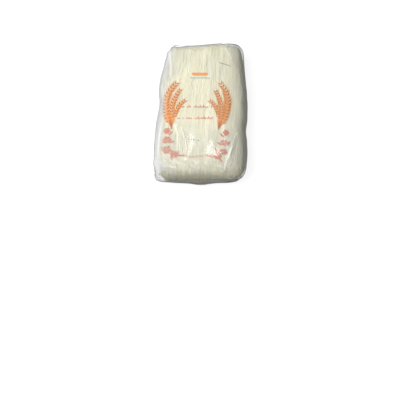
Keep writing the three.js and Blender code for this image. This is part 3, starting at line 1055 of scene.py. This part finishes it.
def loop_path(brick, across, layer, phase, seed):
    """A strand that runs along the top, folds over the far end, and comes back underneath."""
    spine = brick.spine
    top = [(y, 0.0) for y in np.linspace(-spine, spine, 42)]
    far = [(spine, a) for a in np.linspace(0, math.pi, 15)[1:-1]]
    bottom = [(y, math.pi) for y in np.linspace(spine, -spine, 20)]
    near = [(-spine, a) for a in np.linspace(math.pi, 2 * math.pi, 15)[1:-1]]
    path = []
    for y, turn in top + far + bottom + near:
        run = y / MM + 30 * math.sin(turn)
        stray = wander(across, run, seed) + own_stray(phase, run)
        x = across * brick.half_width(y, across) + stray * MM
        end = abs(math.sin(turn))
        depth = layer * LAYER + bundle_depth(across, run, seed)
        uneven = noise.noise(Vector((across * 7, seed, phase * 0.2 + (turn > math.pi))))
        depth += end * (0.3 + 0.9 * uneven)
        direction = Vector((0.0, math.sin(turn), math.cos(turn)))
        path.append(brick.inside(Vector((x, y, MIDDLE)), direction, max(depth, 0.0) * MM))
    return path


def wall_path(brick, side, height, layer, phase, seed, tucks):
    """A strand of the side wall, which turns round each end and tucks in behind the loops there."""
    spine = brick.spine
    path = []
    for sign, tuck in zip((-1, 1), tucks):
        tail = []
        wide = brick.half_width(sign * spine, side) - WALL_INSET
        for a in np.linspace(0, math.pi / 2, 9)[1:]:
            tail.append((side * wide, a, 0.0))
        for t in np.linspace(0, 1, 8)[1:]:
            tail.append((side * (wide - tuck * t), math.pi / 2, 6.5 * t ** 3))
        points = []
        for x, a, dive in tail:
            run = sign * (spine / MM + 16 * a)
            z = MIDDLE + height + (0.5 * wander(height / MM / 20, run, seed) + own_stray(phase, run)) * MM
            direction = Vector((side * math.cos(a), sign * math.sin(a), 0.0))
            depth = layer * LAYER + 0.8 + dive
            points.append(brick.inside(Vector((x, sign * spine, z)), direction, depth * MM))
        if sign < 0:
            path += points[::-1]
            for y in np.linspace(-spine, spine, 44):
                run = y / MM
                stray = 0.5 * wander(height / MM / 20, run, seed) + own_stray(phase, run)
                z = MIDDLE + height + stray * MM
                origin = Vector((side * (brick.half_width(y, side) - WALL_INSET), y, z))
                depth = layer * LAYER + 0.6 * bundle_depth(height / MM / 20, run, seed)
                path.append(brick.inside(origin, Vector((side, 0.0, 0.0)), depth * MM))
        else:
            path += points
    return path


def stray_path(brick, start, end, phase, rng):
    """A loose strand that lies on top of the others and drifts across them."""
    spine = brick.spine
    first, last = sorted((rng.uniform(-1.0, 1.0), rng.uniform(-1.0, 1.0)))
    if last - first < 0.5:
        last = min(1.0, first + 0.5)
    path = []
    for t in np.linspace(0, 1, 36):
        y = mix(first, last, t) * spine
        x = mix(start, end, smooth_step(0, 1, t)) * brick.half_width(y, start)
        x += (own_stray(phase, y / MM) * 2 + wander(start, y / MM, 40 + phase)) * MM
        dive = 2.5 * max(0.0, abs(t - 0.5) * 2 - 0.86) / 0.14
        path.append(brick.inside(Vector((x, y, MIDDLE)), Vector((0, 0, 1)), (dive - 0.05) * MM))
    return path


class Strands:
    """Collects tubes of one kind into a single mesh."""

    def __init__(self):
        self.points, self.quads, self.caps, self.tones = [], [], [], []
        self.count = 0

    def add(self, path, reference, radius, tone, closed=False):
        """A tube along the path, whose rings are set out from the reference direction."""
        line = np.array([tuple(p) for p in path])
        if closed:
            ahead = np.roll(line, -1, 0) - np.roll(line, 1, 0)
        else:
            ahead = np.gradient(line, axis=0)
        ahead /= np.linalg.norm(ahead, axis=1)[:, None]
        across = reference - (ahead @ reference)[:, None] * ahead
        across /= np.linalg.norm(across, axis=1)[:, None]
        up = np.cross(ahead, across)
        angles = np.arange(STRAND_SIDES) * 2 * math.pi / STRAND_SIDES
        turn_x, turn_y = np.cos(angles)[None, :, None], np.sin(angles)[None, :, None]
        rings = line[:, None, :] + radius * (turn_x * across[:, None, :] + turn_y * up[:, None, :])
        rows = len(line) if closed else len(line) - 1
        i = np.arange(rows)[:, None]
        k = np.arange(STRAND_SIDES)[None, :]
        after = (i + 1) % len(line)
        beside = (k + 1) % STRAND_SIDES
        corners = [
            i * STRAND_SIDES + k,
            i * STRAND_SIDES + beside,
            after * STRAND_SIDES + beside,
            after * STRAND_SIDES + k,
        ]
        self.quads.append(np.stack(corners, -1).reshape(-1, 4) + self.count)
        if not closed:
            ring = np.arange(STRAND_SIDES) + self.count
            self.caps.append(ring[::-1])
            self.caps.append(ring + (len(line) - 1) * STRAND_SIDES)
        self.points.append(rings.reshape(-1, 3))
        self.tones.append(np.full(len(line) * STRAND_SIDES, tone))
        self.count += len(line) * STRAND_SIDES

    def make(self, name):
        quads = np.concatenate(self.quads)
        caps = np.array(self.caps).reshape(-1, STRAND_SIDES)
        mesh = bpy.data.meshes.new(name)
        points = np.concatenate(self.points)
        mesh.vertices.add(len(points))
        mesh.vertices.foreach_set("co", points.ravel())
        corners = np.concatenate([quads.ravel(), caps.ravel()])
        sizes = np.concatenate([np.full(len(quads), 4), np.full(len(caps), STRAND_SIDES)])
        mesh.loops.add(len(corners))
        mesh.loops.foreach_set("vertex_index", corners.astype(np.int32))
        mesh.polygons.add(len(sizes))
        starts = np.concatenate([[0], np.cumsum(sizes)[:-1]])
        mesh.polygons.foreach_set("loop_start", starts.astype(np.int32))
        mesh.polygons.foreach_set("use_smooth", np.ones(len(sizes), bool))
        mesh.update(calc_edges=True)
        mesh.validate()
        obj = bpy.data.objects.new(name, mesh)
        bpy.context.scene.collection.objects.link(obj)
        add_weights(obj, "tone", np.concatenate(self.tones))
        return obj


AXIS_X = np.array([1.0, 0.0, 0.0])
AXIS_Z = np.array([0.0, 0.0, 1.0])
WALL_HEIGHT = 15.5  # mm that the side walls' strands reach above and below the pack's middle


def noodles(brick):
    """The skeins, as one piece for each kind of strand."""
    rng = random.Random(NOODLE_SEED)
    pieces = []
    for layer, seed in ((0, 1.0), (1, 11.0)):
        strands = Strands()
        for k in range(LOOPS_ACROSS[layer]):
            across = mix(-0.95, 0.95, (k + 0.5 * layer + rng.uniform(0.2, 0.8)) / LOOPS_ACROSS[layer])
            phase = rng.uniform(0, 20)
            path = loop_path(brick, across, layer, phase, seed)
            radius = STRAND_RADIUS * rng.uniform(0.86, 1.12)
            # the lower skein's strands draw from a darker range of tones: painted shade for the layer that
            # lies below
            tone = rng.random() * (0.95 if layer == 0 else 0.7)
            strands.add(path, AXIS_X, radius, tone, closed=True)
        pieces.append(strands.make(f"skein_{layer + 1}"))
    walls = Strands()
    for side in (-1, 1):
        for layer in (0, 1):
            for k in range(WALL_ROWS):
                height = mix(-WALL_HEIGHT, WALL_HEIGHT, (k + rng.random()) / WALL_ROWS) * MM
                tucks = [rng.uniform(4, 34) * MM for _ in range(2)]
                phase = rng.uniform(0, 20)
                path = wall_path(brick, side, height, layer, phase, 21.0 + side + layer, tucks)
                walls.add(path, AXIS_Z, STRAND_RADIUS * rng.uniform(0.86, 1.12), rng.random())
    pieces.append(walls.make("wall_strands"))
    loose = Strands()
    for _ in range(LOOSE_STRANDS):
        start = rng.uniform(-0.85, 0.85)
        end = np.clip(start + rng.gauss(0, 0.07), -0.88, 0.88)
        path = stray_path(brick, start, end, rng.uniform(0, 20), rng)
        loose.add(path, AXIS_X, STRAND_RADIUS * rng.uniform(0.9, 1.1), rng.random())
    pieces.append(loose.make("loose_strands"))
    return pieces


def core_of(film):
    """The dense mass inside, under the strands that show."""
    core = copied(film, "noodle_core")
    apply_modifier(core, "DECIMATE", ratio=0.35)
    points, outward = coordinates(core), normals(core)
    depth = np.array([CORE_DEPTH + slack(Vector(p)) for p in points])
    depth += CORE_END_DEPTH * smooth_step(78 * MM, 94 * MM, np.abs(points[:, 1]))
    set_coordinates(core, points - outward * depth[:, None])
    apply_modifier(core, "SMOOTH", factor=0.5, iterations=6)
    return core


# ---------------------------------------------------------------- put together

add_camera()
add_studio()

film = film_skin()
rice = rice_material()
brick = Brick(film)
for piece in noodles(brick):
    finish_piece(piece, rice)
core = core_of(film)
finish_piece(core, core_material())
drape(film)
slacken(film)
shade_smooth(film)
finish_piece(film, film_material("film", haze=0.14))
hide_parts(PACK)

film_tree = tree_of(film)
folded = film_material("folded_film", haze=0.02)
crimped = film_material("crimped_film", haze=0.12)
for sign in (-1, 1):
    for piece in end_folds(film_tree, sign, brick.half_width(sign * brick.spine, 1) / MM - 3.0):
        finish_piece(piece, crimped if "seal" in piece.name else folded)
finish_piece(long_seam(), folded)
finish_piece(corner_tip(), folded)

INKS = {
    "print_orange": ((0.88, 0.34, 0.035), 0.98),
    "print_brown": ((0.52, 0.13, 0.02), 0.92),
    "print_red": ((0.76, 0.21, 0.09), 0.84),
    "print_dashes": ((0.80, 0.17, 0.08), 0.85),
    "print_teal": ((0.16, 0.42, 0.48), 0.55),
    "print_grey": ((0.30, 0.36, 0.33), 0.55),
}
for inked, (name, (colour, cover)) in zip(print_fields(film_tree), INKS.items()):
    finish_piece(inked.make(name), ink_material(name, colour, cover))
